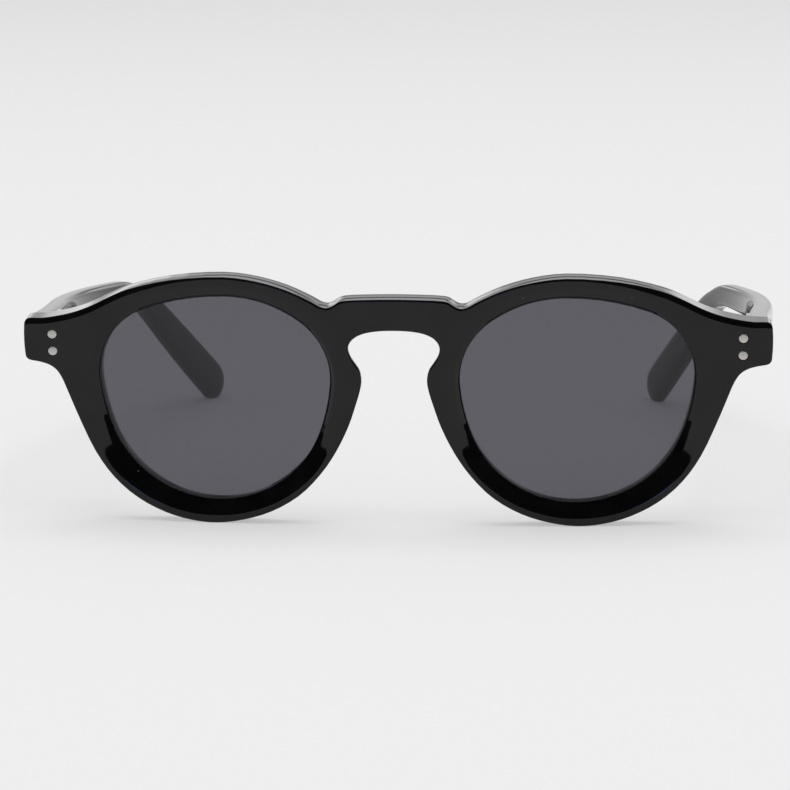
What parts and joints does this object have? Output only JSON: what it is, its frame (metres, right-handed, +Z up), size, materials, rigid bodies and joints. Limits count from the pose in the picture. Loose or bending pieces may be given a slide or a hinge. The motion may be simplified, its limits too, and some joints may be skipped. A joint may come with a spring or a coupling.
{
  "type": "round sunglasses",
  "caption": "Round sunglasses: thick acetate front with a keyhole bridge, tinted lenses set in grooves, riveted barrel hinges and folding cored temples.",
  "frame": {"origin": "centre of the overall box in plan, on the table that the open glasses stand on", "axes": "+X to the wearer's left, +Y from the front to the temple tips, +Z up"},
  "size_m": [0.1504, 0.1454, 0.05],
  "materials": {
    "black_acetate": "polished black acetate",
    "pad_acetate": "tumbled black acetate",
    "lens_tint": "solid grey tint, polished",
    "hinge_steel": "plated and tumbled",
    "rivet_steel": "filed flush, satin",
    "core_wire": "drawn wire"
  },
  "bodies": {
    "front": {"front": "black_acetate", "nose_pad_left": "pad_acetate", "nose_pad_right": "pad_acetate", "lens_left": "lens_tint", "lens_right": "lens_tint", "hinge_front_left": "hinge_steel", "hinge_front_right": "hinge_steel", "hinge_screw_left": "hinge_steel", "hinge_screw_right": "hinge_steel", "front_rivet_upper_left": "rivet_steel", "front_rivet_upper_right": "rivet_steel", "front_rivet_lower_left": "rivet_steel", "front_rivet_lower_right": "rivet_steel"},
    "temple_left": {"temple_left": "black_acetate", "core_wire_left": "core_wire", "hinge_temple_left": "hinge_steel", "temple_rivet_front_left": "rivet_steel", "temple_rivet_rear_left": "rivet_steel"},
    "temple_right": {"temple_right": "black_acetate", "core_wire_right": "core_wire", "hinge_temple_right": "hinge_steel", "temple_rivet_front_right": "rivet_steel", "temple_rivet_rear_right": "rivet_steel"}
  },
  "joints": [
    {"name": "temple_left_fold", "type": "hinge", "parent": "front", "child": "temple_left", "pos_m": [0.0674, -0.05969, 0.03683], "axis": [0, 0, 1], "range_deg": [0, 80]},
    {"name": "temple_right_fold", "type": "hinge", "parent": "front", "child": "temple_right", "pos_m": [-0.0674, -0.05969, 0.03683], "axis": [0, 0, -1], "range_deg": [0, 71]}
  ]
}
